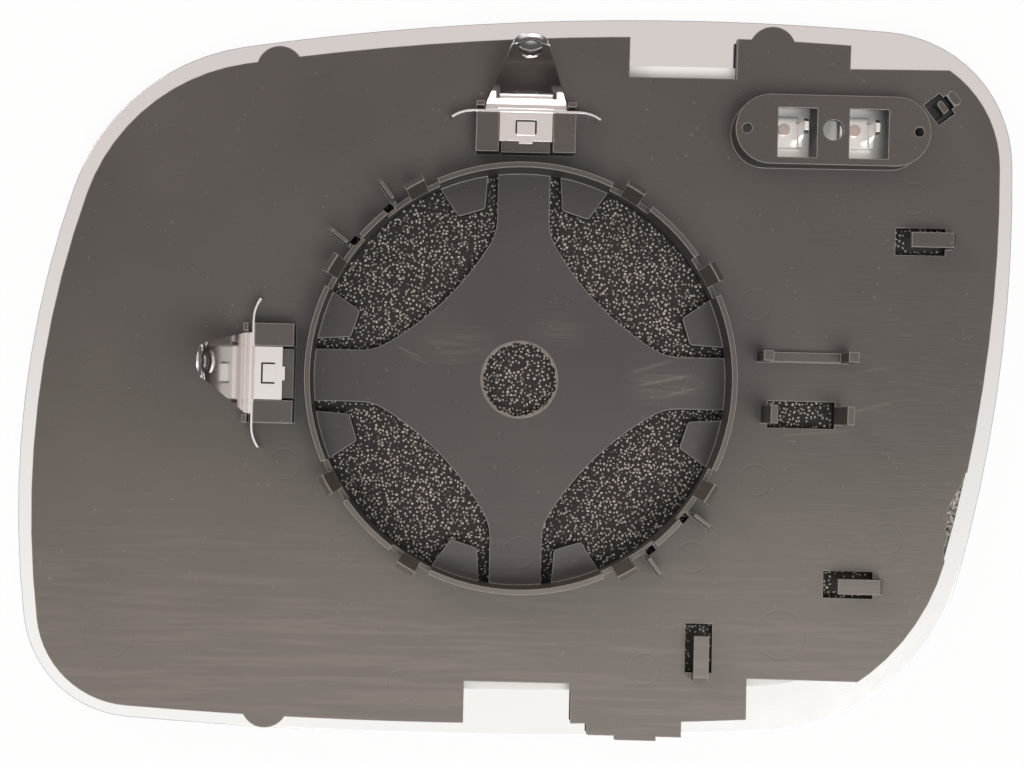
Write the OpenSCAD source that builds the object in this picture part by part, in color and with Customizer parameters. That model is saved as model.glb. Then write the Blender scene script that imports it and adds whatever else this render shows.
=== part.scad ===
// Heated door mirror glass, lying on its convex face with the back up.
// X runs to the right and Y up as one looks at the back, Z points away from the glass.
// The origin is on the axis of the snap ring, level with the back of the backing plate.

/* [Glass] */
// Overall width of the glass
glass_w = 188.3; // [182:0.5:196]
// Overall height of the glass
glass_h = 138; // [134:0.5:144]
// How far the ring axis lies to the right of the middle of the glass
axis_right = 0.85; // [0:0.05:3]
// How far the ring axis lies below the middle of the glass
axis_below = 0.6; // [0:0.1:3]
// Thickness of the glass
glass_t = 2; // [1.6:0.1:3]
// Radius of the convex face
face_r = 1400; // [1000:50:2400]
// Radius of each corner, from the top right anticlockwise
corner_r = [26, 41, 21.8, 40.2]; // [15:0.1:45]
// How far each corner circle stays in from the left or right side
corner_in_x = [0.4, 7.1, 1.5, 7.5]; // [0:0.1:10]
// How far each corner circle stays in from the top or bottom side
corner_in_y = [1.6, 6.6, 2.3, 2.1]; // [0:0.1:10]
// Radius of the bulge of each side: top, left, bottom, right
side_r = [497, 182, 854, 263]; // [150:1:1500]

/* [Layers] */
// Thickness of the heating film
film_t = 0.3; // [0.2:0.05:0.6]
// How far the film stays inside the edge of the glass
film_inset = 8.8; // [6:0.1:10]
// Thickness of the adhesive foam
foam_t = 0.8; // [0.5:0.1:1.5]
// How far the foam stays inside the edge of the glass
foam_inset = 12.2; // [11:0.1:14]
// Thin line of adhesive between two layers
bond_gap = 0.05; // [0.02:0.01:0.1]

/* [Backing plate] */
// Thickness of the plate
plate_t = 2; // [1.5:0.1:3]
// How far the plate stays inside the edge of the glass
plate_inset = 3.25; // [2:0.05:4]
// How far the plate sits low on the glass
plate_drop = 0.6; // [0:0.1:1]
// Extra radius of the plate's bottom right corner
plate_tail = 4.5; // [0:0.5:6]
// Left and right wall of the notch in the top edge
top_notch_x = [19.5, 39.8]; // [15:0.1:45]
// Depth of the top notch, from the top of the glass
top_notch_d = 11.6; // [10:0.1:14]
// Left end of the step at the top right
top_step_x = 61.2; // [55:0.1:65]
// Depth of the top right step, from the top of the glass
top_step_d = 9.4; // [8:0.1:12]
// Left and right wall of the notch in the bottom edge
low_notch_x = [-9.2, 11.2]; // [-15:0.1:15]
// Depth of the bottom notch, from the bottom of the glass
low_notch_d = 10.8; // [9:0.1:13]
// Left end of the step at the bottom right
low_step_x = 44.4; // [40:0.1:50]
// Depth of the bottom right step, from the bottom of the glass
low_step_d = 12.6; // [10:0.1:14]
// Radius of the round bumps on the edge
bump_r = 4.5; // [3:0.1:6]

/* [Snap ring] */
// Inner radius of the ring
ring_r = 39.2; // [37:0.1:41]
// Thickness of the ring wall
ring_wall = 1; // [0.8:0.1:1.6]
// Height of the ring above the plate
ring_h = 8.6; // [6:0.1:12]
// Height of the low wall that links the tall pieces
ring_low_h = 4; // [2:0.1:6]
// Half the angle of each of the four long arcs
arc_half = 24; // [20:0.5:26]
// Angle of each hook away from the nearest long arc's middle
hook_at = 30; // [28:0.5:32]
// Width of a hook round the ring
hook_w = 3.7; // [2.5:0.1:5]
// How far a hook's nose stands out from the ring wall
hook_out = 1.8; // [1:0.1:2.5]
// Half the angle of the middle pieces at the top right and bottom left
middle_half_long = 8.8; // [6:0.1:9]
// Half the angle of the middle pieces at the top left and bottom right
middle_half_short = 4.5; // [3:0.1:5]
// Angle of the fins away from the diagonal
fin_at = 8.2; // [7:0.1:9]
// Length of a fin outwards from the ring
fin_len = 5.2; // [3:0.1:7]
// Thickness of a fin
fin_t = 0.6; // [0.5:0.1:1.2]
// Height of a fin above the plate
fin_h = 10; // [6:0.5:12]

/* [Inside the ring] */
// Width of the arms of the cross
arm_w = 9.9; // [8:0.1:12]
// Radius of the curved edge of the four windows
leaf_r = 55; // [50:0.5:60]
// Distance from the ring axis to that edge, on the diagonal
leaf_in = 20.8; // [18:0.1:24]
// Radius where that edge runs into the arms
leaf_fillet = 9; // [5:0.5:12]
// Radius of the hole in the hub
hub_r = 7.2; // [5:0.1:9]
// How far a support pad reaches inwards from the ring
pad_len = 6.1; // [4:0.1:8]
// Angles of a pad's two sides at the ring, counted from the arm
pad_out_angles = [10, 24]; // [9:0.5:26]
// Angles of a pad's two sides at its inner end
pad_in_angles = [12.8, 22]; // [11:0.1:24]
// How far a pad stands above the plate
pad_raise = 0.5; // [0.2:0.1:1]

/* [Clip brackets] */
// Gap between the ring and the inner end of a bracket
bracket_gap = 2.5; // [2.3:0.1:5]
// Length of a bracket
bracket_len = 7.4; // [6:0.1:9]
// Overall width of a bracket
bracket_w = 18.7; // [16:0.1:22]
// Height of a bracket's cheeks
cheek_h = 4; // [3:0.1:6]
// Height of the block between the cheeks
block_h = 2.9; // [2:0.1:3.2]

/* [Spring clips] */
// Thickness of the sheet
sheet_t = 0.4; // [0.3:0.05:0.6]
// Width of the flat part
clip_w = 10; // [8:0.1:12]
// Length of the tongue
tongue_len = 18; // [12:0.1:20]
// Width of the tongue at its root
tongue_w = 15.4; // [12:0.1:15.5]
// Width of the tongue at its tip
tip_w = 7.2; // [5:0.1:9]
// Rise of the top clip's tongue and of the side clip's, which is bent steeper
tongue_rise = [54.5, 69]; // [40:0.5:72]
// How far the tip of each tongue leans to one side
tongue_lean = [0.2, 1.6]; // [-2:0.1:2]
// Distance between the ends of the two wings
wing_span = 28; // [24:0.5:32]
// Height of the wings
wing_h = 3.4; // [2:0.1:4]
// Radius of the dimple in the tip
dimple_r = 2.1; // [1:0.1:2.4]

/* [Connector] */
// Distance from the right edge of the glass to the middle of the connector
connector_from_right = 36; // [34:0.1:40]
// Distance from the top edge of the glass to the middle of the connector
connector_from_top = 21.8; // [20:0.1:24]
// Length of the connector housing
connector_len = 36.5; // [34:0.1:40]
// Width of the connector housing
connector_w = 13; // [12:0.1:15]
// Height of the housing above the plate
connector_h = 5; // [4:0.1:8]
// Wall of the housing
connector_wall = 1.2; // [1:0.1:1.8]
// Distance between the two terminals
terminal_pitch = 13.35; // [12:0.05:14]
// Width of a terminal's upright blade
blade_w = 2.8; // [2:0.1:3.2]
// Thickness of a terminal blade
blade_t = 0.8; // [0.6:0.1:1]
// Radius of the hole in the middle of the housing
key_hole_r = 1.9; // [1.5:0.1:2.2]
// Radius of the small hole at each end of the housing
end_hole_r = 0.9; // [0.6:0.1:1.2]

/* [Wire routing] */
// Width of the arm of a wire hook
strap_w = 2.8; // [2:0.1:4]
// Length of the arm of a wire hook
strap_len = 8.6; // [6:0.1:10]
// Height of a wire hook above the plate
strap_h = 4; // [3:0.1:6]
// Thickness of a wire hook's arm
strap_t = 1.2; // [0.8:0.1:2]
// Length of the window under a wire hook
strap_window_len = 9.3; // [7:0.1:11]
// Width of the window under a wire hook
strap_window_w = 5.1; // [4:0.1:6]
// Height of the short guide posts
short_post_h = 8; // [5:0.1:10]
// Height of the long guide posts
long_post_h = 11; // [8:0.1:12]

/* [Hidden] */
$fn = 96;

// Colours of the pieces
glass_colour = [0.84, 0.8, 0.79];
film_colour = [0.93, 0.92, 0.9];
foam_colour = [0.09, 0.09, 0.09];
plate_colour = [0.3, 0.28, 0.27];
steel_colour = [0.78, 0.76, 0.75];
tin_colour = [0.9, 0.88, 0.86];
copper_colour = [0.72, 0.58, 0.55];

// Edges of the glass
glass_right = glass_w / 2 - axis_right;
glass_top = glass_h / 2 + axis_below;
glass_left = -glass_w / 2 - axis_right;
glass_low = -glass_h / 2 + axis_below;

// Radii of the layers about the middle of the dish, from the convex face inwards
glass_back_r = face_r - glass_t;
film_front_r = glass_back_r - bond_gap;
film_back_r = film_front_r - film_t;
foam_front_r = film_back_r - bond_gap;
foam_back_r = foam_front_r - foam_t;
plate_front_r = foam_back_r - bond_gap;
plate_back_r = plate_front_r - plate_t;

// The middle of the dish is as high as the back of the plate is deep
dish_z = plate_back_r;
// Reach of a cut that has to go right through
through = 30;

// Height above the origin, at a place, of the face with radius r, and of the plate's back
function level(r, x, y) = dish_z - sqrt(r * r - x * x - y * y);
function rise(x, y) = level(plate_back_r, x, y);

// Points of an arc about c, from angle a anticlockwise to angle b
function arc(c, r, a, b, step) =
    let (sweep = (b - a) - 360 * floor((b - a) / 360), n = max(1, ceil(sweep / step)))
    [for (i = [0:n]) c + r * [cos(a + sweep * i / n), sin(a + sweep * i / n)]];

function heading(v) = atan2(v[1], v[0]);
function without_ends(list) = [for (i = [1:1:len(list) - 2]) list[i]];

// Outline of the glass and of what follows its edge: four corner circles, joined by four bulging sides
// that touch them. Corners run anticlockwise from the top right, and each side follows its corner.
corner_step = 6;
side_chord = 9;
is_right = [true, false, false, true];
is_top = [true, true, false, false];
function corner_middle(k, radii) = [
    is_right[k] ? glass_right - corner_in_x[k] - radii[k] : glass_left + corner_in_x[k] + radii[k],
    is_top[k] ? glass_top - corner_in_y[k] - radii[k] : glass_low + corner_in_y[k] + radii[k]];

// Middle of the circle of radius r that touches two circles from outside, both lying inside it
function bulge_middle(a, ra, b, rb, r) =
    let (d = norm(b - a), u = (b - a) / d, t = ((r - ra) ^ 2 - (r - rb) ^ 2 + d * d) / (2 * d))
    a + t * u + sqrt((r - ra) ^ 2 - t * t) * [-u[1], u[0]];

function outline(radii, inset) =
    let (
        c = [for (k = [0:3]) corner_middle(k, radii)],
        s = [for (k = [0:3], j = (k + 1) % 4) bulge_middle(c[k], radii[k], c[j], radii[j], side_r[k])])
    [for (k = [0:3])
        let (
            first = heading(c[k] - s[(k + 3) % 4]),
            last = heading(c[k] - s[k]),
            next = heading(c[(k + 1) % 4] - s[k]),
            side_step = side_chord / side_r[k] * 180 / PI)
        each concat(
            arc(c[k], radii[k] - inset, first, last, corner_step),
            without_ends(arc(s[k], side_r[k] - inset, last, next, side_step)))];

// A rectangle given by its edges
module block(x0, x1, y0, y1) {
    translate([x0, y0]) square([x1 - x0, y1 - y0]);
}

// A rectangle with round ends
module stadium(length, width) {
    reach = (length - width) / 2;
    polygon(concat(arc([reach, 0], width / 2, -90, 90, 10), arc([-reach, 0], width / 2, 90, 270, 10)));
}

// Everything inside a radius about the middle of the dish, its pole turned away from the part
module ball(r) {
    translate([0, 0, dish_z]) rotate([90, 0, 0]) sphere(r, $fn = 256);
}

// One layer of the dish between two radii, cut to a flat outline
module layer(front_r, back_r) {
    difference() {
        intersection() {
            translate([0, 0, -through / 2]) linear_extrude(through) children();
            ball(front_r);
        }
        ball(back_r);
    }
}

module mirror_glass() color(glass_colour) {
    layer(face_r, glass_back_r) polygon(outline(corner_r, 0));
}

module heater_film() color(film_colour) {
    layer(film_front_r, film_back_r) polygon(outline(corner_r, film_inset));
}

module foam_pad() color(foam_colour) {
    layer(foam_front_r, foam_back_r) difference() {
        polygon(outline(corner_r, foam_inset));
        translate(connector_at) stadium(cavity_len + 2 * foam_clear, cavity_w + 2 * foam_clear);
    }
}

// Places and levels of the connector
connector_at = [glass_right - connector_from_right, glass_top - connector_from_top];
connector_top = rise(connector_at[0], connector_at[1]) + connector_h;
cavity_len = connector_len - 2 * connector_wall;
cavity_w = connector_w - 2 * connector_wall;
// How far the foam stays clear of the connector's cavity
foam_clear = 0.5;
// Window over each terminal
socket_w = 7.3;
socket_h = 9.2;
socket_drop = 0.6;
// Wall inside the housing, flush with the right edge of the left window
partition_x = socket_w / 2 - terminal_pitch / 2;
partition_t = 0.9;
// Distance from each end of the housing to its small hole
end_hole_in = 2.15;

module backing_plate() color(plate_colour) {
    difference() {
        intersection() {
            union() {
                plate_slab();
                snap_ring();
                pads();
                connector_housing();
                for (turn = [0, 90]) rotate(turn) clip_bracket();
                for (place = wire_hook_places) translate(place[0]) rotate(place[1]) wire_hook(place[0]);
                short_guide();
                long_guide();
                latch_hook();
            }
            ball(plate_front_r);
        }
        connector_cuts();
        latch_pocket();
        for (a = [135, 315], s = [-1, 1]) rotate(a + s * core_hole_at)
            translate([ring_r + core_hole_in, -core_hole / 2, -through / 2]) cube([core_hole, core_hole, through]);
    }
}

// The plate with its notches, windows and holes, dished on both faces
module plate_slab() {
    difference() {
        translate([0, 0, -through / 2]) linear_extrude(through) difference() {
            plate_outline();
            circle(hub_r);
            for (turn = [0:90:270]) rotate(turn) leaf_window();
            for (place = wire_hook_places) translate(place[0]) rotate(place[1])
                block(-strap_window_len, 0, -strap_window_w / 2, strap_window_w / 2);
            block(guide_x0, guide_x1, long_guide_y - strap_window_w / 2, long_guide_y + strap_window_w / 2);
        }
        ball(plate_back_r);
        broken_edge();
    }
}

// Flat outline of the plate
bumps = [[46.4, glass_top - 6.2], [-46.8, glass_top - 12], [-46.9, glass_low + 5.8]];
low_tab = [14.3, 32.2, 1.2];
low_tooth = [19.6, 27.4, 0.4];
module plate_outline() {
    difference() {
        translate([0, -plate_drop]) polygon(outline(corner_r + [0, 0, 0, plate_tail], plate_inset));
        block(top_notch_x[0], top_notch_x[1], glass_top - top_notch_d, glass_top);
        block(top_step_x, glass_right, glass_top - top_step_d, glass_top);
        block(low_notch_x[0], low_notch_x[1], glass_low, glass_low + low_notch_d);
        block(low_step_x, glass_right, glass_low, glass_low + low_step_d);
    }
    for (place = bumps) translate(place) circle(bump_r);
    for (tab = [low_tab, low_tooth]) block(tab[0], tab[1], glass_low + tab[2], glass_low + low_notch_d);
}

// One of the four windows of the cross, between two arms, in the first quadrant
module leaf_window() {
    edge = arm_w / 2;
    far = leaf_in + leaf_r;
    middle = [far, far] / sqrt(2);
    // The fillet touches the arm, and the curved edge from inside
    fx = edge + leaf_fillet;
    fy = middle[1] - sqrt((leaf_r - leaf_fillet) ^ 2 - (middle[0] - fx) ^ 2);
    turn = heading([fx, fy] - middle);
    reach = ring_r + ring_wall;
    intersection() {
        circle(ring_r + ring_wall / 2);
        polygon(concat(
            [[reach, reach], [edge, reach]],
            arc([fx, fy], leaf_fillet, 180, turn, 12),
            without_ends(arc(middle, leaf_r, turn, 90 - turn, 3)),
            arc([fy, fx], leaf_fillet, 90 - turn, 270, 12),
            [[reach, edge]]));
    }
}

// The chewed edge at the right: a shallow ragged bite out of the back
bite_depth = 0.9;
bite_at = [82, -24];
bite = [[7, 9], [2.6, 8.2], [2.2, 6.4], [0.2, 2.6], [-0.6, 1.1], [-0.3, -0.8], [-0.8, -2.3], [-0.4, -4.1],
    [-1.1, -6.2], [-0.8, -8.9], [0.4, -8.1], [0.9, -9.6], [7, -10]];
module broken_edge() {
    translate([bite_at[0], bite_at[1], rise(bite_at[0], bite_at[1]) - bite_depth])
        linear_extrude(through) polygon(bite);
}

// Snap ring
ring_out_r = ring_r + ring_wall;
ring_top = rise(ring_r, 0) + ring_h;
ring_low = rise(ring_r, 0) + ring_low_h;
// Height of a hook's ridge above the ring, and depth of its nose
hook_rise = 0.6;
hook_t = 1.8;
// Slope of a hook's nose, flat top of its ridge, depth of its barb, and where its inner slope begins
hook_lip = 1;
hook_flat = 0.2;
hook_under = 0.8;
hook_slope_from = 0.6;
// Small square holes beside the fins: angle away from the diagonal, width, and wall left on their inside
core_hole_at = 6.2;
core_hole = 1.8;
core_hole_in = 0.6;
hook_half = hook_w / ring_r / 2 * 180 / PI;
module snap_ring() {
    difference() {
        translate([0, 0, -through / 4]) cylinder(r = ring_out_r, h = through / 4 + ring_top);
        translate([0, 0, -through]) cylinder(r = ring_r, h = 2 * through);
        for (turn = [0:90:270], s = [0, 1]) rotate(turn) mirror([0, s, 0])
            ring_gap(arc_half, 45 - middle_half(turn + 45 * (1 - 2 * s)));
    }
    for (turn = [0:90:270], s = [-1, 1]) rotate(turn + s * hook_at) snap_hook();
    for (a = [135, 315], s = [-1, 1]) rotate(a + s * fin_at) fin();
}

// Half the angle of the middle piece on the diagonal at an angle
function middle_half(a) = (a + 360) % 180 == 45 ? middle_half_long : middle_half_short;

// Room beside a hook: the wall is cut down to the low wall between two angles
module ring_gap(from, to) {
    rotate([0, 0, from]) rotate_extrude(angle = to - from)
        translate([ring_r - 1, ring_low]) square([ring_wall + 2, through]);
}

// A hook: a finger of the ring wall whose inner face leans out to a ridge, with a sloping nose outside
module snap_hook() {
    foot = ring_low - 1;
    skin = 0.05;
    ridge = ring_top + hook_rise;
    nose = ring_out_r + hook_out;
    rotate([0, 0, -hook_half]) rotate_extrude(angle = 2 * hook_half) polygon([
        [ring_r + skin, foot], [ring_out_r - skin, foot],
        [ring_out_r - skin, ridge - hook_t - hook_under], [nose, ridge - hook_t],
        [nose, ridge - hook_lip], [nose - hook_lip, ridge],
        [nose - hook_lip - hook_flat, ridge], [ring_r + skin, ring_low + hook_slope_from]]);
}

// A radial fin outside the ring
fin_slope = 1;
fin_in = 1.2;
module fin() {
    foot = rise(ring_out_r, 0) - 0.5;
    reach = fin_len + ring_wall / 2;
    translate([ring_r + ring_wall / 2, 0, foot]) rotate([90, 0, 0]) translate([0, 0, -fin_t / 2])
        linear_extrude(fin_t) polygon([
            [0, 0], [reach, 0], [reach, fin_h - fin_slope], [reach - fin_slope, fin_h],
            [fin_in, fin_h], [fin_in, ring_low_h], [0, ring_low_h]]);
}

// Shelves inside the ring that the actuator rests against
pad_in_r = ring_r - pad_len;
pad_top = rise(pad_in_r, 0) + pad_raise;
pad_corner_r = 0.7;
function polar(r, a) = r * [cos(a), sin(a)];

// Points that round the corner p, which lies between a and b going anticlockwise
function rounding(a, p, b, r) =
    let (
        u = (a - p) / norm(a - p), v = (b - p) / norm(b - p), w = (u + v) / norm(u + v),
        half = acos(u * w), c = p + w * r / sin(half))
    arc(c, r, heading(-w) + half - 90, heading(-w) + 90 - half, 15);

module pads() {
    out_r = ring_r + ring_wall / 2;
    foot = [polar(out_r, pad_out_angles[0]), polar(out_r, pad_out_angles[1])];
    end = [polar(pad_in_r, pad_in_angles[1]), polar(pad_in_r, pad_in_angles[0])];
    for (turn = [0:90:270], s = [0, 1]) rotate(turn) mirror([0, s, 0])
        translate([0, 0, -through / 4]) linear_extrude(through / 4 + pad_top) polygon(concat(
            foot,
            rounding(foot[1], end[0], end[1], pad_corner_r),
            rounding(end[0], end[1], foot[0], pad_corner_r)));
}

// Connector housing
module connector_housing() {
    translate([connector_at[0], connector_at[1], -through / 4])
        linear_extrude(through / 4 + connector_top) stadium(connector_len, connector_w);
}

module connector_cuts() {
    translate([connector_at[0], connector_at[1], 0]) {
        translate([0, 0, -through]) linear_extrude(through + connector_top - connector_wall) difference() {
            stadium(cavity_len, cavity_w);
            block(partition_x, partition_x + partition_t, -cavity_w / 2, cavity_w / 2);
        }
        translate([0, 0, -through]) cylinder(r = key_hole_r, h = 2 * through);
        for (s = [-1, 1]) {
            translate([s * (connector_len / 2 - end_hole_in), 0, -through])
                cylinder(r = end_hole_r, h = 2 * through);
            translate([s * terminal_pitch / 2 - socket_w / 2, -socket_h / 2 - socket_drop, -through])
                cube([socket_w, socket_h, 2 * through]);
        }
    }
}

// Clip bracket, on the +Y side of the ring: two cheeks, a block between them and two small posts
bracket_r = ring_out_r + bracket_gap;
bracket_end = bracket_r + bracket_len;
bracket_z = rise(bracket_end, 0);
bracket_foot = 1.5;
clip_gap = 0.1;
cheek_in = clip_w / 2 + clip_gap;
block_half = clip_w / 2 - 0.4;
post_in = tongue_w / 2 + 0.2;
post_w = 1.5;
post_t = 0.9;
post_gap = 1.3;
// Barb of the clip: width, length, distance of its root from the bracket's end, bend and the slit round it
barb_w = 3.4;
barb_len = 2.3;
barb_root = 3.9;
barb_bend = 5;
barb_recess = 0.9;
slit = 0.3;
module clip_bracket() {
    foot = bracket_z - bracket_foot;
    difference() {
        translate([-block_half, bracket_r, foot]) cube([2 * block_half, bracket_len, bracket_foot + block_h]);
        translate([-barb_w / 2 - slit, bracket_end - barb_root, bracket_z + block_h - barb_recess])
            cube([barb_w + 2 * slit, barb_len + slit, through]);
    }
    for (s = [0, 1]) mirror([s, 0, 0]) {
        translate([cheek_in, bracket_r, foot])
            cube([bracket_w / 2 - cheek_in, bracket_len, bracket_foot + cheek_h]);
        translate([post_in, bracket_end + post_gap, foot]) cube([post_w, post_t, bracket_foot + wing_h]);
    }
}

// Spring clip on the +Y side: flat part on the block, down the bracket's end, round and up to the tongue
// Turns about the sheet's middle line
bend_r = 0.6;
root_r = 0.8;
curl_r = 1.2;
curl_turn = 55;
// Height of the middle of the sheet on the block
flat_z = block_h + bond_gap + sheet_t / 2;
// Distance of the middle of the upright sheet from the bracket's end
face_y = bond_gap + sheet_t / 2;
root_z = 1.6;
flat_len = 5.3;
inner_tab = [2.6, 0.5];

// Band of the sheet's thickness along a path of points
function band(path, t) =
    let (
        last = len(path) - 1,
        side = [for (i = [0:last])
            let (d = path[min(i + 1, last)] - path[max(i - 1, 0)], n = [-d[1], d[0]] / norm(d)) n * t / 2])
    concat([for (i = [0:last]) path[i] + side[i]], [for (i = [last:-1:0]) path[i] - side[i]]);

function backwards(list) = [for (i = [len(list) - 1:-1:0]) list[i]];

// The turn under the upright sheet, seen from the side: along Y outwards and Z up
function root_turn(up) = arc([face_y + root_r, root_z], root_r, 180, 270 + up, 15);

// The sheet's path from the flat part to the root of the tongue
function clip_path(up) = concat(
    [[-flat_len, flat_z]],
    backwards(arc([face_y - bend_r, flat_z - bend_r], bend_r, 0, 90, 15)),
    root_turn(up));

// Where the tongue begins
function tongue_root(up) = [face_y + root_r, root_z] + root_r * [sin(up), -cos(up)];

module across(w) {
    rotate([90, 0, 90]) translate([0, 0, -w / 2]) linear_extrude(w) children();
}

module spring_clip(up, lean) color(steel_colour) {
    translate([0, bracket_end, bracket_z]) {
        difference() {
            union() {
                across(clip_w) polygon(band(clip_path(up), sheet_t));
                translate([-inner_tab[0] / 2, -flat_len - inner_tab[1], flat_z - sheet_t / 2])
                    cube([inner_tab[0], 2 * inner_tab[1], sheet_t]);
            }
            translate([-barb_w / 2 - slit, -barb_root, flat_z - 1]) cube([barb_w + 2 * slit, barb_len + slit, 2]);
        }
        barb();
        wings();
        across(tongue_w) polygon(band(root_turn(up), sheet_t));
        tongue(up, lean);
    }
}

// The barb keeps its root towards the ring, and its free end is bent down into the block's recess
module barb() {
    overlap = 0.3;
    translate([0, -barb_root, flat_z]) rotate([-barb_bend, 0, 0])
        translate([-barb_w / 2, -overlap, -sheet_t / 2]) cube([barb_w, barb_len + overlap, sheet_t]);
}

// The upright sheet across the bracket's end: low in the middle, where the flat part folds off it, with a
// wing on each side that bends back at its end
wing_low = 0.5;
wing_end_r = 6.8;
wing_end_turn = 36;
fold_relief = 0.8;
module wings() {
    end = [wing_span / 2 - wing_end_r * sin(wing_end_turn), face_y - wing_end_r];
    half = backwards(arc(end, wing_end_r, 90 - wing_end_turn, 90, 9));
    path = concat([for (p = backwards(half)) [-p[0], p[1]]], half);
    relief = clip_w / 2 + fold_relief;
    difference() {
        translate([0, 0, wing_low]) linear_extrude(wing_h) polygon(band(path, sheet_t));
        translate([-relief, -1, flat_z - bend_r]) cube([2 * relief, 3, wing_h]);
    }
}

// Angle of the point where a line from q touches the circle of radius r about c, on the side s
function touch(c, r, q, s) = heading(q - c) + s * acos(r / norm(q - c));

// The tongue: the sheet rises from its root turn, and its round tip is rolled down all round
module tongue(up, lean) {
    root = tongue_root(up);
    tip_r = tip_w / 2;
    tip_at = [lean, tongue_len - tip_r];
    corner = [tongue_w / 2, 0.4];
    right = touch(tip_at, tip_r, corner, 1);
    left = touch(tip_at, tip_r, [-corner[0], corner[1]], -1) + 360;
    rim = concat([[0, 0]], backwards(arc([tip_r - curl_r, -curl_r], curl_r, 90 - curl_turn, 90, 11)));
    translate([0, root[0], root[1]]) rotate([up, 0, 0]) difference() {
        union() {
            translate([0, 0, -sheet_t / 2]) linear_extrude(sheet_t) polygon([
                [-corner[0], -0.2], [corner[0], -0.2], corner, tip_at + polar(tip_r, right),
                tip_at + [0, tip_r - curl_r], tip_at + polar(tip_r, left), [-corner[0], corner[1]]]);
            translate([tip_at[0], tip_at[1], 0]) rotate([0, 0, right])
                rotate_extrude(angle = left - right) polygon(band(rim, sheet_t));
            dimple(tip_at, 0);
        }
        dimple(tip_at, -sheet_t);
    }
}

// A round dimple pressed through the tip, seen as a shallow cap above the sheet
dimple_cap = 0.45;
module dimple(place, z) {
    cap_r = (dimple_r ^ 2 + dimple_cap ^ 2) / (2 * dimple_cap);
    translate([place[0], place[1], sheet_t / 2 + z + dimple_cap - cap_r]) difference() {
        sphere(cap_r);
        translate([0, 0, -cap_r - dimple_cap - sheet_t / 2]) cylinder(r = 2 * cap_r, h = 2 * cap_r);
    }
}

module spring_clip_top() spring_clip(tongue_rise[0], tongue_lean[0]);
module spring_clip_side() rotate(90) spring_clip(tongue_rise[1], tongue_lean[1]);

// Wire hooks: distances of each from the right and top or bottom edge of the glass, or from the ring axis
hook_a_in = [13.4, 41.8];
hook_b_in = [25.5, 30.9];
hook_c_at = 35.2;
hook_c_in = 13.5;
strap_slope = 0.8;
// Root place and direction of each, the arm runs back from it
wire_hook_places = [
    [[glass_right - hook_a_in[0], glass_top - hook_a_in[1]], 0],
    [[glass_right - hook_b_in[0], glass_low + hook_b_in[1]], 0],
    [[hook_c_at, glass_low + hook_c_in], -90]];
module wire_hook(place) {
    translate([0, 0, rise(place[0], place[1])]) rotate([90, 0, 0]) translate([0, 0, -strap_w / 2])
        linear_extrude(strap_w) polygon([
            [0, -1], [strap_t, -1], [strap_t, strap_h - strap_slope], [strap_t - strap_slope, strap_h],
            [strap_t - strap_len, strap_h], [strap_t - strap_len, strap_h - strap_t], [0, strap_h - strap_t]]);
}

// Wire guides right of the ring: gap to the ring, length between the posts, and places along Y
guide_gap = 7.1;
guide_len = 12.7;
guide_x0 = ring_out_r + guide_gap;
guide_x1 = guide_x0 + guide_len;
short_guide_y = 5.4;
long_guide_y = -5.5;
short_post_w = 1.9;
short_post_out = [0.4, 0.7];
short_bar_w = 1.8;
short_bar_h = 1.6;
short_bar_over = 1;
long_post_w = 1.3;
long_post_depth = 3.4;
module guide_post(x, y, width, depth, height) {
    foot = rise(x, y);
    translate([x - width / 2, y - depth / 2, foot - 1]) cube([width, depth, height + 1]);
}

module short_guide() {
    for (x = [guide_x0 - short_post_w / 2 - short_post_out[0], guide_x1 + short_post_w / 2 + short_post_out[1]])
        guide_post(x, short_guide_y, short_post_w, short_post_w, short_post_h);
    foot = rise(guide_x0, short_guide_y);
    translate([guide_x0 - short_bar_over, short_guide_y - short_bar_w / 2, foot - 1])
        cube([guide_len + 2 * short_bar_over, short_bar_w, 1 + short_bar_h]);
}

module long_guide() {
    for (x = [guide_x0 - long_post_w / 2, guide_x1 + long_post_w / 2])
        guide_post(x, long_guide_y, long_post_w, long_post_depth, long_post_h);
}

// Corner latch: a blind pocket with two deeper wells, a tongue between them, and a small tab beside it
latch_at = [glass_right - 14.8, glass_top - 16.35];
latch_turn = 38;
latch_x = [-2.5, 1.2];
latch_len = 4.8;
latch_well_x = [[-2.5, -0.7], [0.7, 1.9]];
latch_well_len = 2.7;
latch_depth = 0.9;
latch_floor = 0.5;
latch_tongue_w = 1.15;
latch_tongue_len = 2.5;
latch_tongue_h = 0.4;
latch_tab_at = 2.75;
latch_tab = [2.9, 1.5];
latch_tab_h = 0.3;
module latch_frame() {
    translate([latch_at[0], latch_at[1], rise(latch_at[0], latch_at[1])]) rotate(latch_turn) children();
}

module latch_pocket() {
    latch_frame() {
        difference() {
            translate([latch_x[0], -latch_len / 2, -latch_depth])
                cube([latch_x[1] - latch_x[0], latch_len, through]);
            translate([-latch_tongue_w / 2, -latch_tongue_len / 2, -through]) {
                cube([latch_tongue_w, latch_tongue_len - latch_tongue_w / 2, 2 * through]);
                translate([latch_tongue_w / 2, latch_tongue_len - latch_tongue_w / 2, 0])
                    cylinder(r = latch_tongue_w / 2, h = 2 * through, $fn = 24);
            }
        }
        for (x = latch_well_x) translate([x[0], -latch_well_len / 2, latch_floor - plate_t])
            cube([x[1] - x[0], latch_well_len, through]);
    }
}

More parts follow.
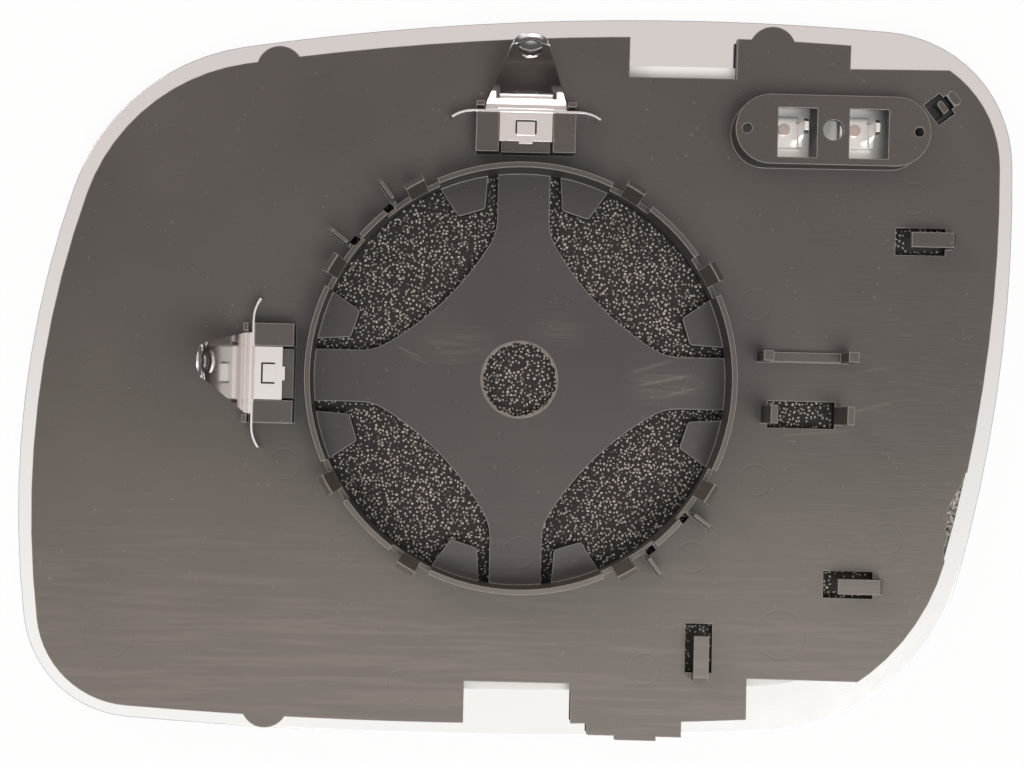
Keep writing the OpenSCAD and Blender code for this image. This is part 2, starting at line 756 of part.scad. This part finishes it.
module latch_hook() {
    latch_frame() {
        translate([0, 0, -1]) linear_extrude(1 + latch_tongue_h) {
            block(-latch_tongue_w / 2, latch_tongue_w / 2, -latch_tongue_len / 2, latch_tongue_len / 2 - latch_tongue_w / 2);
            translate([0, latch_tongue_len / 2 - latch_tongue_w / 2]) circle(latch_tongue_w / 2, $fn = 24);
        }
        translate([latch_tab_at, 0, -1]) linear_extrude(1 + latch_tab_h)
            rotate(90) stadium(latch_tab[0], latch_tab[1]);
    }
}

// Terminals: a foot on the film, held by a rivet, and an upright at its right end with a narrow blade and
// a low shoulder beside it. Places are counted from the rivet.
foot_x = [-2.7, 2.7];
foot_y = [-3.3, 2.5];
blade_y = -1.6;
shoulder_h = 1.8;
blade_slope = 0.6;
blade_below = 0.3;
relief_r = 0.35;
rivet_at = [-1.4, 1];
rivet_r = 0.75;
rivet_head_r = 1.1;
rivet_foot_t = 0.35;
rivet_head_t = 0.5;
rivet_gap = 0.05;
rivet_lift = 0.1;
function terminal_place(s) = connector_at + [s * terminal_pitch / 2 + rivet_at[0], rivet_at[1]];

// Underside of a foot, high enough for the rivet's lower head to clear the film
function foot_z(p) = level(film_back_r, norm(p) + rivet_head_r, 0) + rivet_lift + rivet_foot_t + rivet_gap;

module terminal(s) color(tin_colour) {
    p = terminal_place(s);
    blade_top = connector_top - foot_z(p) - blade_below;
    translate([p[0], p[1], foot_z(p)]) difference() {
        union() {
            translate([foot_x[0], foot_y[0], 0]) cube([foot_x[1] - foot_x[0], foot_y[1] - foot_y[0], blade_t]);
            translate([foot_x[1], 0, 0]) rotate([90, 0, 90]) linear_extrude(blade_t) polygon([
                [foot_y[0], 0], [blade_y + blade_w + relief_r, 0], [blade_y + blade_w, blade_t],
                [blade_y + blade_w, blade_top - blade_slope], [blade_y + blade_w - blade_slope, blade_top],
                [blade_y + blade_slope, blade_top], [blade_y, blade_top - blade_slope],
                [blade_y, shoulder_h], [foot_y[0], shoulder_h]]);
        }
        translate([0, 0, -1]) cylinder(r = rivet_r + rivet_gap, h = 4);
        translate([foot_x[1], blade_y + blade_w + relief_r, -1]) cylinder(r = relief_r, h = 4, $fn = 24);
    }
}

module terminal_left() terminal(-1);
module terminal_right() terminal(1);

module terminal_rivets() color(copper_colour) {
    for (s = [-1, 1]) {
        p = terminal_place(s);
        translate([p[0], p[1], foot_z(p) - rivet_gap - rivet_foot_t]) {
            cylinder(r = rivet_head_r, h = rivet_foot_t);
            cylinder(r = rivet_r, h = rivet_foot_t + 2 * rivet_gap + blade_t + rivet_head_t / 2);
            translate([0, 0, rivet_foot_t + 2 * rivet_gap + blade_t]) cylinder(r = rivet_head_r, h = rivet_head_t);
        }
    }
}

mirror_glass();
heater_film();
foam_pad();
backing_plate();
spring_clip_top();
spring_clip_side();
terminal_left();
terminal_right();
terminal_rivets();
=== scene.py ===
# %% [markdown]
# # The back of a heated door mirror glass
# The part lies on its convex glass with the back up: a chromed glass, a pale heating film, a pad of
# black foam, and a black moulded plate with a snap ring, clips and a small connector. The solids come
# packed in model.glb. This script gives them their finishes, adds the small forms that the solids
# leave out, and sets the camera and the light.

import math

import bpy
import bmesh
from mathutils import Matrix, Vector, noise


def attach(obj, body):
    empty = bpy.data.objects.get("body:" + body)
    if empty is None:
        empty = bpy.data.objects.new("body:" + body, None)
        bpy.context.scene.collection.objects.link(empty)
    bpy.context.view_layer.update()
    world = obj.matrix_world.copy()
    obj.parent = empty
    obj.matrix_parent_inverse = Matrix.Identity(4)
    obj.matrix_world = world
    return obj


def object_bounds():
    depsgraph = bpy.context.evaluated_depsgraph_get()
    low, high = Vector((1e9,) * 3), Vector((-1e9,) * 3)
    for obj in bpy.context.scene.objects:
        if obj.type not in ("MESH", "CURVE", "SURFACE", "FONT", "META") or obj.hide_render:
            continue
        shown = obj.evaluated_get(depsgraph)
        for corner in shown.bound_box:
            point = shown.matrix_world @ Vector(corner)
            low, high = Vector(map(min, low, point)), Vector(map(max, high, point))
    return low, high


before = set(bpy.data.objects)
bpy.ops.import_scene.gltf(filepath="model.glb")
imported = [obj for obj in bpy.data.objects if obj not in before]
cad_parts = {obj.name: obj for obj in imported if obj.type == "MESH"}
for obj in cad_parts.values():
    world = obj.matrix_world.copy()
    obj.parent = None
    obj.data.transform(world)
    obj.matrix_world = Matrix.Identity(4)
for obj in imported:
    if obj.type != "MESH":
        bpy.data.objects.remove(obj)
cad_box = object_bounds()
MM = 0.001
print("solids:", sorted(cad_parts))

# %% [markdown]
# ## Camera
# The photograph looks straight down on the plate from about a third of a metre, so posts lean outwards
# as they rise. The lens follows from the scale at the plate and that distance. A small shift puts the
# point under the lens left of the middle and below it, as in the photograph.

# %% Camera over the plate
IMAGE_W = 1024
SENSOR_MM = 36
PIXELS_PER_MM = 5.24
HEIGHT_MM = 320
UNDER_LENS = (-9.83, -7.20)
SHIFT_PX = (45, 34)
TURN_DEG = 1.37

eye = bpy.data.cameras.new("eye")
camera = bpy.data.objects.new("eye", eye)
bpy.context.scene.collection.objects.link(camera)
eye.sensor_width = SENSOR_MM
eye.lens = PIXELS_PER_MM * HEIGHT_MM / IMAGE_W * SENSOR_MM
eye.shift_x, eye.shift_y = (px / IMAGE_W for px in SHIFT_PX)
eye.clip_start = 0.01
camera.location = (UNDER_LENS[0] * MM, UNDER_LENS[1] * MM, HEIGHT_MM * MM)
camera.rotation_euler = (0, 0, math.radians(TURN_DEG))
bpy.context.scene.camera = camera
print("lens", round(eye.lens, 2), "mm")

# %% [markdown]
# ## A short way to write shader maths
# A material's pattern is easier to read as a formula than as a list of nodes and links. `Value` wraps
# one socket, and each operator on it adds one Math node. `Shader.node` adds any other node, with its
# settings first and the values or links of its sockets after.

# %% Sockets that can be added and multiplied
class Value:
    def __init__(self, shader, socket):
        self.shader, self.socket = shader, socket

    def _math(self, operation, *others):
        return self.shader.node("ShaderNodeMath", {"operation": operation}, *([self] + list(others)))

    def __add__(self, other):
        return self._math("ADD", other)

    def __sub__(self, other):
        return self._math("SUBTRACT", other)

    def __mul__(self, other):
        return self._math("MULTIPLY", other)

    def __rsub__(self, other):
        return self.shader.node("ShaderNodeMath", {"operation": "SUBTRACT"}, other, self)

    __radd__ = __add__
    __rmul__ = __mul__

    def most(self, other):
        return self._math("MAXIMUM", other)

    def least(self, other):
        return self._math("MINIMUM", other)

    def power(self, other):
        return self._math("POWER", other)

    def size(self):
        return self._math("ABSOLUTE")

    def step(self, low, high):
        """0 below low, 1 above high, and smooth between; low may be the larger."""
        return self.shader.node(
            "ShaderNodeMapRange", {"interpolation_type": "SMOOTHSTEP"}, self, low, high, 0.0, 1.0)


class Shader:
    def __init__(self, tree):
        self.tree = tree

    def node(self, kind, settings=None, *inputs, out=0, **named):
        made = self.tree.nodes.new(kind)
        for key, value in (settings or {}).items():
            setattr(made, key, value)
        for key, value in list(enumerate(inputs)) + [(k.replace("_", " "), v) for k, v in named.items()]:
            if isinstance(value, Value):
                self.tree.links.new(value.socket, made.inputs[key])
            elif value is not None:
                made.inputs[key].default_value = value
        return Value(self, made.outputs[out])

    def mix(self, factor, a, b):
        """Colour a where the factor is 0 and b where it is 1; each may be a value or a link."""
        made = self.tree.nodes.new("ShaderNodeMix")
        made.data_type = "RGBA"
        for socket, value in ((made.inputs[0], factor), (made.inputs[6], a), (made.inputs[7], b)):
            if isinstance(value, Value):
                self.tree.links.new(value.socket, socket)
            else:
                socket.default_value = value
        return Value(self, made.outputs[2])


# %% [markdown]
# Every material starts the same way: a Principled shader, and the place of the point in millimetres,
# read from Object coordinates, so that a pattern stays put from any side. The Bevel node turns the
# normals at sharp edges, which gives the small bright lines that a moulded or stamped edge has.

# %% Start of a material
class Finish(Shader):
    def __init__(self, name, edge_mm=0.0, **plain):
        self.material = bpy.data.materials.new(name)
        self.material.use_nodes = True
        super().__init__(self.material.node_tree)
        self.surface = self.tree.nodes["Principled BSDF"]
        for key, value in plain.items():
            self.surface.inputs[key.replace("_", " ")].default_value = value
        place = self.node("ShaderNodeTexCoord", out=3)
        self.mm = self.node("ShaderNodeVectorMath", {"operation": "SCALE"}, place)
        self.mm.socket.node.inputs["Scale"].default_value = 1000
        split = self.node("ShaderNodeSeparateXYZ", None, self.mm)
        self.x, self.y, self.z = (Value(self, split.socket.node.outputs[i]) for i in range(3))
        self.edge = self.node("ShaderNodeBevel", {"samples": 6}, edge_mm * MM) if edge_mm else None
        if self.edge:
            self.set("Normal", self.edge)

    def set(self, name, value):
        self.tree.links.new(value.socket, self.surface.inputs[name])

    def noise(self, scale, detail=2.0, roughness=0.5, stretch=(1, 1, 1), turn=0.0, shift=(0, 0, 0)):
        """Cloudy noise with about `scale` lumps in a millimetre, between 0 and 1."""
        place = self.node("ShaderNodeMapping", None, self.mm, shift, (0, 0, math.radians(turn)), stretch)
        return self.node("ShaderNodeTexNoise", None, place, Scale=scale, Detail=detail, Roughness=roughness)

    def sharp_edges(self):
        """1 where the Bevel node turns the normal, along sharp edges, and 0 on the flats."""
        flat = self.node("ShaderNodeNewGeometry", out=1)
        same = self.node("ShaderNodeVectorMath", {"operation": "DOT_PRODUCT"}, self.edge, flat, out=1)
        return same.step(0.99, 0.86)

    def bump(self, height, depth_mm, strength=1.0):
        """Raises the surface by depth_mm where height is 1."""
        made = self.node("ShaderNodeBump", None, strength, depth_mm * MM, Height=height)
        if self.edge:
            self.tree.links.new(self.edge.socket, made.socket.node.inputs["Normal"])
        self.set("Normal", made)


def srgb(r, g, b):
    """The linear colour that shows as this 0-255 screen colour."""
    return tuple(((c / 255 + 0.055) / 1.055) ** 2.4 if c > 10 else c / 3295 for c in (r, g, b)) + (1.0,)


# %% [markdown]
# ## Black moulding
# The plate is matt black plastic that has been handled and stored. It reads as a warm dark grey, with
# fine streaks where it was rubbed, pale smudges on the hub, and shallow round marks left by the pins
# that push it out of its mould. Light is painted into its colour too: the paler lower part is partly
# painted sheen and partly rubbing, sharp edges get pale painted highlights, and there is painted shade
# inside the ring and down in pockets and windows. All of this is laid out in millimetres on the plate itself.

# %% Black plastic
PIN_MARKS = [
    (-79.8, 0.4, 4.6), (-76.7, -49.8, 4.6), (-66.2, 41.9, 4.6), (50.6, -47.3, 4.6),
    (-19.3, 44.4, 2.9), (-32.9, 33.6, 2.9), (-43.4, 17.1, 2.9), (20.6, 43.8, 2.9), (73.8, 35.9, 2.9),
    (44.5, 15.2, 2.9), (45.3, -18.1, 2.9), (33.6, -33, 2.9), (70.2, -28.6, 2.9), (25, -54.5, 2.9),
    (0.7, -33.1, 2.9), (-21, -58.8, 2.9), (-32.8, -33.1, 2.9), (-44.4, -17.2, 2.9)]

# Scratches: both ends in millimetres, width, and how pale they are
SCRATCHES = [
    ((6.9, -24.4), (9.8, -21.6), 0.16, 1.0), ((9.8, -21.6), (13.0, -19.9), 0.14, 0.9),
    ((-23.9, 6.0), (-18.1, 3.3), 0.3, 0.3), ((-22.5, 4.6), (-16.9, 2.2), 0.22, 0.25),
    ((20.5, 1.6), (30.2, 4.6), 0.5, 0.25), ((22.0, -0.8), (33.5, 1.8), 0.45, 0.3),
    ((27.5, -2.6), (35.0, -0.6), 0.3, 0.3), ((62.1, -5.1), (72.5, -2.2), 0.5, 0.22),
    ((48.5, -9.6), (66.0, -8.0), 0.35, 0.2), ((63.5, 2.6), (71.0, 4.2), 0.3, 0.2)]
# Smudges: middle, radius along X and Y, and how pale they are
SMUDGES = [((27.5, -0.5), (9, 4), 0.5), ((-12.5, 6.5), (8, 4.5), 0.35), ((7.5, 9.5), (6, 4), 0.3)]

GLASS_RADIUS = 1400
RING_SHADE = (39.6, 38.4)
CHEWED_X, CHEWED_Y = 78, -24

plastic = Finish("black_plastic", edge_mm=0.3, IOR=1.5)
flat_place = plastic.node("ShaderNodeCombineXYZ", None, plastic.x, plastic.y, 0.0)


def beyond(point):
    """Distance in the plane of the plate from a point in millimetres."""
    return plastic.node(
        "ShaderNodeVectorMath", {"operation": "DISTANCE"}, flat_place, (point[0], point[1], 0.0), out=1)


def scratch(start, end, width):
    """1 on a straight line between two points, 0 beside it."""
    along = Vector(end) - Vector(start)
    span = along.length
    run = ((plastic.x - start[0]) * (along.x / span) + (plastic.y - start[1]) * (along.y / span))
    side = ((plastic.x - start[0]) * (along.y / span) - (plastic.y - start[1]) * (along.x / span)).size()
    return side.step(width, width * 0.3) * run.step(0, span * 0.2) * run.step(span, span * 0.7)


streaks = plastic.noise(0.35, 3, 0.6, stretch=(0.12, 2.2, 1), turn=-6)
hairs = plastic.noise(2.2, 3, 0.65, stretch=(0.05, 2.0, 1), turn=14, shift=(40, 3, 0))
clouds = plastic.noise(0.03, 2)
specks = plastic.noise(1.3, 0, shift=(7, 7, 7)).step(0.80, 0.84)
# Paler towards the lower edge: partly painted sheen, partly rubbing
lower = (0.0 - plastic.y).step(-14, 66)
rubbed = (0.0 - plastic.y).step(12, 60) * streaks.step(0.42, 0.72)
worn_right = plastic.x.step(30, 75) * (0.0 - plastic.y).step(-60, 30) * hairs.step(0.45, 0.8)
pale = 0.62 * lower + 0.3 * rubbed + 0.26 * worn_right + clouds * 0.3 + hairs * 0.1
for middle, (wide, high), amount in SMUDGES:
    place = plastic.node("ShaderNodeVectorMath", {"operation": "MULTIPLY"},
                         flat_place, (1 / wide, 1 / high, 0.0))
    away = plastic.node("ShaderNodeVectorMath", {"operation": "DISTANCE"},
                        place, (middle[0] / wide, middle[1] / high, 0.0), out=1)
    pale = pale + away.step(1.2, 0.2) * hairs.step(0.35, 0.75) * amount
for start, end, width, amount in SCRATCHES:
    pale = pale + scratch(start, end, width) * amount
pale = (pale + specks * 0.35).least(1.3)
# Painted shade: inside the ring the plate is made darker, most where the sheen is painted strongest, as the
# ring shades it
pale = pale - beyond((0, 0)).step(*RING_SHADE) * (0.16 + lower * 0.45)
# Height over the dished top of the plate: below it the walls of pockets and windows get painted shade
depth = plastic.z - (plastic.x.power(2) + plastic.y.power(2)) * (1 / (2 * GLASS_RADIUS))
# The chewed edge shows the plastic torn open, paler and granular
crumbs = plastic.noise(1.6, 3, 0.7)
torn = plastic.x.step(CHEWED_X, CHEWED_X + 1) * (depth + 0.55).size().step(0.5, 0.35)
torn = torn * (plastic.y - CHEWED_Y).size().step(12, 11)
colour = plastic.mix(pale, srgb(60, 53, 50), srgb(115, 107, 99))
# Painted highlight: a pale line along every sharp edge of the moulding
colour = plastic.mix(plastic.sharp_edges() * 0.9, colour, srgb(192, 184, 177))
# Painted shade: deep in pockets and windows the plastic goes near black
colour = plastic.mix(depth.step(-0.25, -0.9), colour, srgb(12, 10, 10))
colour = plastic.mix(torn, colour, plastic.mix(crumbs.step(0.35, 0.7), srgb(60, 55, 52), srgb(205, 198, 190)))
plastic.set("Base Color", colour)
plastic.set("Roughness", 0.33 + streaks * 0.12 + clouds * 0.1 + torn * 0.4)
rings = None
for px, py, r in PIN_MARKS:
    one = (beyond((px, py)) - r).size().step(0.32, 0.0)
    rings = one if rings is None else rings.most(one)
grain = plastic.noise(5.0, 2, 0.6)
plastic.bump(grain * 0.10 + streaks * 0.2 - rings * 0.55 + torn * crumbs * 6.0, 0.05, 0.6)
print("black_plastic:", len(plastic.tree.nodes), "nodes")
print("pin marks:", len(PIN_MARKS), "scratches:", len(SCRATCHES))

# %% [markdown]
# ## Chromed glass, film, foam, steel, tin and copper
# The glass carries its mirror coat on the back, so its rim shows as polished metal. The film is a pale
# satin plastic. The foam is black with a coarse grain that glitters. The clips are bright rolled sheet.

# %% Other finishes
COAT, CUT_EDGE = (0.93, 0.915, 0.905, 1), (0.42, 0.39, 0.38, 1)
chrome = Finish("mirror_coat", edge_mm=0.25, Metallic=1.0)
# The cut edge of the glass is a thin dark line round the bright coat
chrome.set("Base Color", chrome.mix(chrome.sharp_edges(), COAT, CUT_EDGE))
chrome.set("Roughness", 0.04 + chrome.noise(0.2, 2) * 0.05)

film = Finish("heater_film", Base_Color=srgb(240, 237, 233), Roughness=0.38, IOR=1.5)
film.bump(film.noise(0.5, 2), 0.02, 0.3)
# Painted reflection: under the connector the film is made metallic, so that its shaded floor seen through the
# windows shows bright
CONNECTOR, SHINY_FLOOR_HALF, FADE = (57.3, 47.8), (18, 7), 0.5
across = (film.x - CONNECTOR[0]).size().step(SHINY_FLOOR_HALF[0], SHINY_FLOOR_HALF[0] - FADE)
along = (film.y - CONNECTOR[1]).size().step(SHINY_FLOOR_HALF[1], SHINY_FLOOR_HALF[1] - FADE)
film.set("Metallic", across * along * 0.9)

foam = Finish("foam", Roughness=0.5, IOR=1.2, Base_Color=srgb(54, 49, 46))
foam.bump(foam.noise(1.4, 3, 0.6), 0.5, 0.8)

# The grains: a dark grey, with pale flecks painted as glints and black patches painted as the shade in the
# gaps between
grit = Finish("foam_grain", IOR=1.3)
glint_flecks = grit.noise(2.7, 1, 0.7)
gap_shade = grit.noise(2.3, 0, shift=(30, 5, 5))
body = grit.mix(gap_shade.step(0.42, 0.52), srgb(8, 7, 7), srgb(96, 89, 84))
grit.set("Base Color", grit.mix(glint_flecks.step(0.40, 0.53), body, srgb(192, 183, 176)))
grit.set("Roughness", 0.12 + grit.noise(1.1, 1, shift=(9, 9, 9)) * 0.3)

steel = Finish("spring_steel", edge_mm=0.1, Base_Color=(0.88, 0.85, 0.84, 1), Metallic=1.0)
rolled = steel.noise(1.2, 3, 0.6, stretch=(0.1, 3, 1))
steel.set("Roughness", 0.08 + rolled * 0.08)
steel.bump(rolled, 0.006, 0.3)

tin = Finish("tinned_brass", edge_mm=0.08, Base_Color=(0.92, 0.9, 0.88, 1), Metallic=1.0)
tin.set("Roughness", 0.14 + tin.noise(2.0, 3) * 0.2)

copper = Finish("copper", edge_mm=0.1, Base_Color=srgb(196, 181, 175), Metallic=1.0)
copper.set("Roughness", 0.25 + copper.noise(3.0, 2) * 0.2)

flash = Finish("moulding_flash", edge_mm=0.05, Base_Color=srgb(120, 112, 106), IOR=1.5)
flash.set("Roughness", 0.35 + flash.noise(2.0, 2) * 0.3)
OTHERS = (chrome, film, foam, grit, steel, tin, copper, flash)
print("finishes:", [(finish.material.name, len(finish.tree.nodes)) for finish in OTHERS])

# %% Give the solids their finishes
FINISH_OF = {
    "mirror_glass": chrome, "heater_film": film, "foam_pad": foam, "backing_plate": plastic,
    "spring_clip_top": steel, "spring_clip_side": steel, "terminal_left": tin, "terminal_right": tin,
    "terminal_rivets": copper}
for node_name, finish in FINISH_OF.items():
    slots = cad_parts[node_name].material_slots
    for slot in slots:
        slot.material = finish.material
    print(node_name, "->", finish.material.name, len(slots))

# %% [markdown]
# ## Grain of the foam
# Wherever a window of the plate leaves the foam bare, its surface is a layer of small dark grains that
# glitter. The Geometry Nodes tree below scatters points on the top of the foam, looks straight up from
# each for the plate, drops those that it covers, and puts a small rough stone on each of the others.

# %% Geometry Nodes: grains on what the plate leaves bare
def grain_tree():
    tree = bpy.data.node_groups.new("grains", "GeometryNodeTree")
    for name, kind in (("Foam", "Geometry"), ("Plate", "Object"), ("Spacing", "Float"), ("Grain", "Float"),
                       ("Seed", "Int"), ("Material", "Material")):
        tree.interface.new_socket(name, in_out="INPUT", socket_type="NodeSocket" + kind)
    tree.interface.new_socket("Grains", in_out="OUTPUT", socket_type="NodeSocketGeometry")

    def add(kind, **settings):
        made = tree.nodes.new(kind)
        for key, value in settings.items():
            setattr(made, key, value)
        return made

    def link(a, out, b, into):
        tree.links.new(a.outputs[out], b.inputs[into])

    given, result = add("NodeGroupInput"), add("NodeGroupOutput")
    scatter = add("GeometryNodeDistributePointsOnFaces", distribute_method="POISSON")
    plate = add("GeometryNodeObjectInfo", transform_space="RELATIVE")
    look_up = add("GeometryNodeRaycast")
    covered = add("GeometryNodeDeleteGeometry", domain="POINT")
    stone = add("GeometryNodeMeshIcoSphere")
    turn = add("FunctionNodeRandomValue", data_type="FLOAT_VECTOR")
    scale = add("FunctionNodeRandomValue", data_type="FLOAT_VECTOR")
    place = add("GeometryNodeInstanceOnPoints")
    real = add("GeometryNodeRealizeInstances")
    paint = add("GeometryNodeSetMaterial")
    position = add("GeometryNodeInputPosition")
    link(given, "Foam", scatter, "Mesh")
    link(given, "Spacing", scatter, "Distance Min")
    link(given, "Seed", scatter, "Seed")
    scatter.inputs["Density Max"].default_value = 4e6
    link(given, "Plate", plate, "Object")
    link(plate, "Geometry", look_up, "Target Geometry")
    link(position, "Position", look_up, "Source Position")
    look_up.inputs["Ray Direction"].default_value = (0, 0, 1)
    look_up.inputs["Ray Length"].default_value = 0.05
    link(scatter, "Points", covered, "Geometry")
    link(look_up, "Is Hit", covered, "Selection")
    link(given, "Grain", stone, "Radius")
    stone.inputs["Subdivisions"].default_value = 1
    turn.inputs["Max"].default_value = (6.28, 6.28, 6.28)
    scale.inputs["Min"].default_value = (0.55, 0.55, 0.6)
    scale.inputs["Max"].default_value = (1.25, 1.25, 1.3)
    for random in (turn, scale):
        link(given, "Seed", random, "Seed")
    link(covered, "Geometry", place, "Points")
    link(stone, "Mesh", place, "Instance")
    tree.links.new(turn.outputs[0], place.inputs["Rotation"])
    tree.links.new(scale.outputs[0], place.inputs["Scale"])
    link(place, "Instances", real, "Geometry")
    link(real, "Geometry", paint, "Geometry")
    link(given, "Material", paint, "Material")
    link(paint, "Geometry", result, "Grains")
    return tree


def plain(item):
    """Turns the result of the modifiers into the object's own mesh."""
    graph = bpy.context.evaluated_depsgraph_get()
    mesh = bpy.data.meshes.new_from_object(item.evaluated_get(graph))
    item.modifiers.clear()
    item.data = mesh


def new_piece(name, mesh):
    item = bpy.data.objects.new(name, mesh)
    bpy.context.scene.collection.objects.link(item)
    return item


# %% Scatter the grains
GRAIN_SPACING, GRAIN_R, GRAIN_SEED = 0.52, 0.30, 4
foam_top = bmesh.new()
foam_top.from_mesh(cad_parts["foam_pad"].data)
bmesh.ops.delete(foam_top, geom=[f for f in foam_top.faces if f.normal.z < 0.5], context="FACES")
top_mesh = bpy.data.meshes.new("foam_grain")
foam_top.to_mesh(top_mesh)
foam_top.free()
grains = new_piece("foam_grain", top_mesh)
scattering = grains.modifiers.new("grains", "NODES")
scattering.node_group = grain_tree()
inputs = {s.name: s.identifier for s in scattering.node_group.interface.items_tree if s.in_out == "INPUT"}
scattering[inputs["Plate"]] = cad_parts["backing_plate"]
scattering[inputs["Spacing"]] = GRAIN_SPACING * MM
scattering[inputs["Grain"]] = GRAIN_R * MM
scattering[inputs["Seed"]] = GRAIN_SEED
scattering[inputs["Material"]] = grit.material
plain(grains)
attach(grains, "root")
print("grains:", len(grains.data.polygons) // 20)

# %% [markdown]
# ## Flash round the hub hole
# Plastic that crept between the halves of the mould left a thin ragged lip round the hole.

# %% Ragged lip
HUB_R, FLASH_OUT, FLASH_T, FLASH_STEPS = 7.2, 0.25, 0.22, 240


def flash_lip():
    """A ring of four rows of quads, whose inner edge wanders with noise."""
    lip = bmesh.new()
    rows = []
    for i in range(FLASH_STEPS):
        angle = 2 * math.pi * i / FLASH_STEPS
        way = Vector((math.cos(angle), math.sin(angle), 0))
        ragged = 0.32 + 0.5 * noise.noise(way * 5.0) + 0.3 * noise.noise(way * 16.0)
        inner = HUB_R - max(0.04, ragged)
        lift = 0.10 * noise.noise(way * 9.0)
        rows.append([lip.verts.new(((way * r) + Vector((0, 0, z))) * MM) for r, z in (
            (HUB_R + FLASH_OUT, 0.02), (HUB_R - 0.02, 0.12 + lift), (inner, 0.05 + lift),
            (inner + 0.02, 0.05 + lift - FLASH_T), (HUB_R - 0.01, -FLASH_T - 0.1))])
    for a, b in zip(rows, rows[1:] + rows[:1]):
        for k in range(4):
            lip.faces.new((a[k], a[k + 1], b[k + 1], b[k]))
    bmesh.ops.recalc_face_normals(lip, faces=lip.faces)
    mesh = bpy.data.meshes.new("hub_flash")
    lip.to_mesh(mesh)
    lip.free()
    return mesh


hub_flash = new_piece("hub_flash", flash_lip())
hub_flash.data.materials.append(flash.material)
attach(hub_flash, "root")
print("flash faces:", len(hub_flash.data.polygons))

# %% [markdown]
# ## Floor, light and world
# The floor is white and just under the glass. To the camera it shows its own white, so that the picture
# has the photograph's white ground. The light is a soft white room with one broad lamp high over the
# lower edge, which adds its sheen to the lower half of the plate on top of the sheen painted there,
# and a low one at the upper left.

# %% Floor
floor_z = cad_box[0][2] - 0.02 * MM
bpy.ops.mesh.primitive_plane_add(size=6, location=(0, 0, floor_z))
floor = bpy.context.object
floor.name = "floor"
ground_material = bpy.data.materials.new("ground")
ground_material.use_nodes = True
ground = Shader(ground_material.node_tree)
matt = ground.tree.nodes["Principled BSDF"]
matt.inputs["Base Color"].default_value = (0.86, 0.85, 0.84, 1)
matt.inputs["Roughness"].default_value = 0.9
shine = ground.node("ShaderNodeEmission", None, (1, 1, 1, 1), 1.0)
seen = ground.node("ShaderNodeLightPath")
own = Value(ground, matt.outputs[0])
blend = ground.node("ShaderNodeMixShader", None, seen * 0.93, own, shine)
ground.tree.links.new(blend.socket, ground.tree.nodes["Material Output"].inputs["Surface"])
floor.data.materials.append(ground_material)
print("floor at", round(floor_z / MM, 2), "mm")

# %% Lamps
def lamp(name, place, aim, width, height, watts, colour=(1, 1, 1)):
    light = bpy.data.lights.new(name, "AREA")
    light.shape, light.size, light.size_y = "RECTANGLE", width, height
    light.energy, light.color = watts, colour
    item = bpy.data.objects.new(name, light)
    bpy.context.scene.collection.objects.link(item)
    item.location = place
    item.rotation_euler = (Vector(aim) - Vector(place)).to_track_quat("-Z", "Y").to_euler()
    print(name, watts, "W", (width, height), "m")


lamp("lower_softbox", (0.20, -0.38, 0.85), (0, 0, 0), 0.60, 0.42, 4.0)
lamp("left_softbox", (-0.55, 0.45, 0.40), (0, 0, 0), 0.35, 0.25, 1.6, (1.0, 0.98, 0.97))

# %% World
ZENITH_LOW, ZENITH_HIGH = (0.98, 0.975, 0.96, 1), (0.70, 0.655, 0.635, 1)
HORIZON = (0.10, 0.095, 0.09, 1)

world = bpy.data.worlds.new("room")
bpy.context.scene.world = world
world.use_nodes = True
room = Shader(world.node_tree)
way = room.node("ShaderNodeTexCoord")
split = room.node("ShaderNodeSeparateXYZ", None, way)
north, up = (Value(room, split.socket.node.outputs[i]) for i in (1, 2))
overhead = room.mix(north.step(-0.10, 0.12), ZENITH_LOW, ZENITH_HIGH)
sky = room.mix(up.step(0.35, 0.85), HORIZON, overhead)
rays = room.node("ShaderNodeLightPath")
shown = room.mix(rays, sky, (1, 1, 1, 1))
room.tree.links.new(shown.socket, room.tree.nodes["Background"].inputs["Color"])
print("world:", len(room.tree.nodes), "nodes")

bpy.context.scene.view_settings.view_transform = "Standard"
